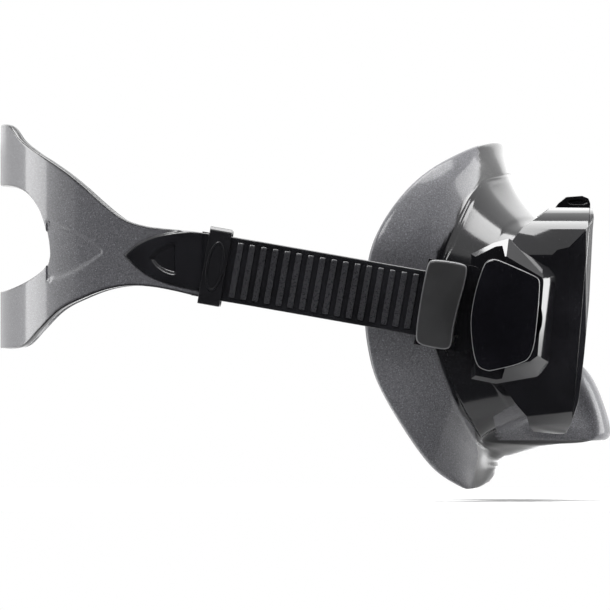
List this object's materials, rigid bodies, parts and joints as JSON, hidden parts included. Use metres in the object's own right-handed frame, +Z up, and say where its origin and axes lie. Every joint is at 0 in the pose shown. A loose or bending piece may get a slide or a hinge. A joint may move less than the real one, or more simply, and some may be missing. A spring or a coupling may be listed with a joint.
{
  "type": "diving mask",
  "caption": "Twin-lens diving mask with a soft face skirt and nose pocket, swivelling strap buckles with release pads, and a ribbed strap that splits behind the head.",
  "frame": {"origin": "middle of the face opening, on the mid-plane of the mask", "axes": "+X the way the wearer looks, +Y the wearer's left, +Z up"},
  "size_m": [0.2072, 0.1766, 0.1241],
  "materials": {
    "skirt_silicone": "matte with a fine grain on the flange, gloss on the wall",
    "strap_silicone": "satin",
    "frame_gloss": "gloss",
    "bezel_gloss": "gloss",
    "cover_gloss": "deep gloss",
    "buckle_plastic": "semi-gloss",
    "pad_satin": "satin",
    "bush_plastic": "satin",
    "steel": "turned",
    "glass": "polished"
  },
  "bodies": {
    "mask": {"skirt": "skirt_silicone", "frame": "frame_gloss", "lens_bezel": "bezel_gloss", "lens_left": "glass", "lens_right": "glass", "bezel_clip_top": "frame_gloss", "left_pivot_pin": "steel", "right_pivot_pin": "steel", "left_buckle_cover": "cover_gloss", "right_buckle_cover": "cover_gloss"},
    "right_buckle": {"right_buckle_arm": "buckle_plastic", "right_pivot_bush": "bush_plastic", "right_roller_pin": "steel", "right_pad_pin": "steel", "right_pad_spring": "steel", "strap": "strap_silicone"},
    "left_buckle": {"left_buckle_arm": "buckle_plastic", "left_pivot_bush": "bush_plastic", "left_roller_pin": "steel", "left_pad_pin": "steel", "left_pad_spring": "steel"},
    "right_roller": {"right_strap_roller": "buckle_plastic"},
    "left_roller": {"left_strap_roller": "buckle_plastic"},
    "right_pad": {"right_release_pad": "pad_satin"},
    "left_pad": {"left_release_pad": "pad_satin"},
    "right_keeper": {"right_keeper": "frame_gloss"},
    "left_keeper": {"left_keeper": "frame_gloss"}
  },
  "joints": [
    {"name": "right_buckle_swivel", "type": "hinge", "parent": "mask", "child": "right_buckle", "pos_m": [0.0245, -0.078, -0.001], "axis": [0, 1, 0], "range_deg": [-18, 18]},
    {"name": "left_buckle_swivel", "type": "hinge", "parent": "mask", "child": "left_buckle", "pos_m": [0.0245, 0.078, -0.001], "axis": [0, 1, 0], "range_deg": [-18, 18]},
    {"name": "right_roller_spin", "type": "hinge", "parent": "right_buckle", "child": "right_roller", "pos_m": [0.00185, -0.0796, 0.00299], "axis": [0.1736, 0, 0.9848], "continuous": true},
    {"name": "left_roller_spin", "type": "hinge", "parent": "left_buckle", "child": "left_roller", "pos_m": [0.00185, 0.0796, 0.00299], "axis": [0.1736, 0, 0.9848], "continuous": true},
    {"name": "right_pad_hinge", "type": "hinge", "parent": "right_buckle", "child": "right_pad", "pos_m": [0.00717, -0.0834, 0.00206], "axis": [0.1736, 0, 0.9848], "range_deg": [0, 12], "stiffness_Nm_per_rad": 0.05},
    {"name": "left_pad_hinge", "type": "hinge", "parent": "left_buckle", "child": "left_pad", "pos_m": [0.00717, 0.0834, 0.00206], "axis": [-0.1736, 0, -0.9848], "range_deg": [0, 12], "stiffness_Nm_per_rad": 0.05},
    {"name": "right_keeper_slide", "type": "slide", "parent": "right_buckle", "child": "right_keeper", "axis": [0.9848, 0, -0.1736], "range_m": [0, 0.045]},
    {"name": "left_keeper_slide", "type": "slide", "parent": "right_buckle", "child": "left_keeper", "axis": [0.9848, 0, -0.1736], "range_m": [0, 0.045]}
  ],
  "couplings": [
    {"joint": "left_buckle_swivel", "follows": "right_buckle_swivel", "ratio": 1}
  ]
}
